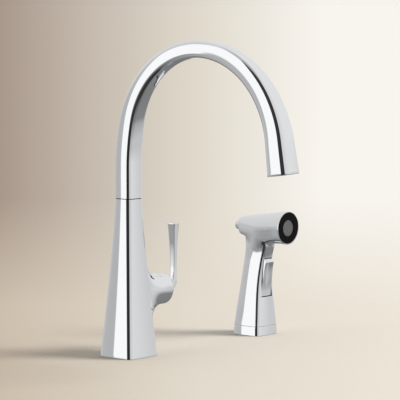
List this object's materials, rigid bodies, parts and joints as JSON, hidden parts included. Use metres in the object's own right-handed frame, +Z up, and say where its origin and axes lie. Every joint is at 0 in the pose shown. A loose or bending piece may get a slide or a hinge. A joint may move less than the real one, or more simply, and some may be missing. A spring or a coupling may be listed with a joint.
{
  "type": "kitchen faucet",
  "caption": "Single-lever high-arc kitchen faucet with tapered square body, gooseneck spout that flares to its outlet, and a separate deck-mounted hand spray with trigger.",
  "frame": {"origin": "centre of the faucet body's base at deck level; below-deck fixings reach to negative Z", "axes": "+Z up, spout and spray nozzle point to -Y, valve stub with lever points to +X towards the hand spray"},
  "size_m": [0.3087, 0.3071, 0.4882],
  "materials": {
    "chrome": "polished chrome plate on brass",
    "chrome_plated_plastic": "polished chrome plate on moulded plastic",
    "brass": "machined",
    "steel": "plain",
    "rubber": "matte",
    "black_plastic": "satin",
    "grey_plastic": "satin mesh",
    "white_plastic": "satin",
    "disc_ceramic": "lapped"
  },
  "bodies": {
    "fixed_body": {"body_shell": "chrome", "base_gasket": "rubber", "mounting_shank": "brass", "rubber_deck_washer": "rubber", "steel_deck_washer": "steel", "mounting_nut": "brass", "valve_core": "brass", "spray_outlet": "brass", "diverter_spring": "steel", "riser_tube": "brass", "cartridge_housing": "white_plastic", "fixed_disc": "disc_ceramic", "bonnet_nut": "brass", "swivel_bush": "white_plastic", "thrust_washer": "black_plastic", "spray_escutcheon": "chrome", "holder_gasket": "rubber", "holder_shank": "brass", "holder_liner": "white_plastic", "holder_washer": "rubber", "holder_nut": "brass"},
    "spout_assembly": {"spout": "chrome", "spout_spigot": "brass", "spigot_o_rings": "rubber", "spigot_clip": "steel", "aerator_housing": "chrome", "aerator_insert": "grey_plastic", "aerator_gasket": "rubber"},
    "mixing_rotor": {"cartridge_rotor": "brass", "stem_pin": "steel"},
    "lever": {"lever_handle": "chrome", "lever_stem": "steel", "grub_screw": "steel"},
    "moving_disc": {"moving_disc": "disc_ceramic"},
    "diverter": {"diverter_piston": "brass"},
    "handset": {"spray_body": "chrome_plated_plastic", "hose_connector": "brass", "spray_waterway": "white_plastic", "selector_body": "white_plastic", "nozzle_body": "black_plastic", "spray_face": "grey_plastic", "trigger_pin": "steel", "trigger_spring": "steel", "selector_spring": "steel"},
    "trigger": {"trigger": "chrome_plated_plastic"},
    "plunger": {"plunger": "white_plastic"},
    "mode_button": {"mode_button": "chrome_plated_plastic", "selector_spool": "white_plastic"}
  },
  "joints": [
    {"name": "spout_swivel", "type": "hinge", "parent": "fixed_body", "child": "spout_assembly", "pos_m": [0, 0, 0.2], "axis": [0, 0, 1], "continuous": true},
    {"name": "temperature_turn", "type": "hinge", "parent": "fixed_body", "child": "mixing_rotor", "pos_m": [0.058, 0, 0.083], "axis": [1, 0, 0], "range_deg": [-50, 50]},
    {"name": "flow_tilt", "type": "hinge", "parent": "mixing_rotor", "child": "lever", "pos_m": [0.058, 0, 0.083], "axis": [0, 1, 0], "range_deg": [0, 22]},
    {"name": "disc_slide", "type": "slide", "parent": "mixing_rotor", "child": "moving_disc", "axis": [0, 0, 1], "range_m": [0, 0.0033]},
    {"name": "diverter_slide", "type": "slide", "parent": "fixed_body", "child": "diverter", "axis": [0, 0, 1], "range_m": [0, 0.004], "stiffness_N_per_m": 60, "springref_m": -0.002, "deforming": ["diverter_spring"]},
    {"name": "handset_lift", "type": "slide", "parent": "fixed_body", "child": "handset", "axis": [0, 0, 1], "range_m": [0, 0.15]},
    {"name": "trigger_press", "type": "hinge", "parent": "handset", "child": "trigger", "pos_m": [0.256, -0.0158, 0.0585], "axis": [-1, 0, 0], "range_deg": [0, 5], "stiffness_Nm_per_rad": 1, "springref_deg": -4.58, "deforming": ["trigger_spring"]},
    {"name": "plunger_slide", "type": "slide", "parent": "handset", "child": "plunger", "axis": [0, 1, 0], "range_m": [0, 0.003]},
    {"name": "mode_press", "type": "slide", "parent": "handset", "child": "mode_button", "axis": [0, -1, 0], "range_m": [0, 0.004], "stiffness_N_per_m": 400, "springref_m": -0.003, "deforming": ["selector_spring"]}
  ],
  "couplings": [
    {"joint": "disc_slide", "follows": "flow_tilt", "m_per_rad": 0.00829},
    {"joint": "plunger_slide", "follows": "trigger_press", "m_per_rad": 0.0295}
  ]
}
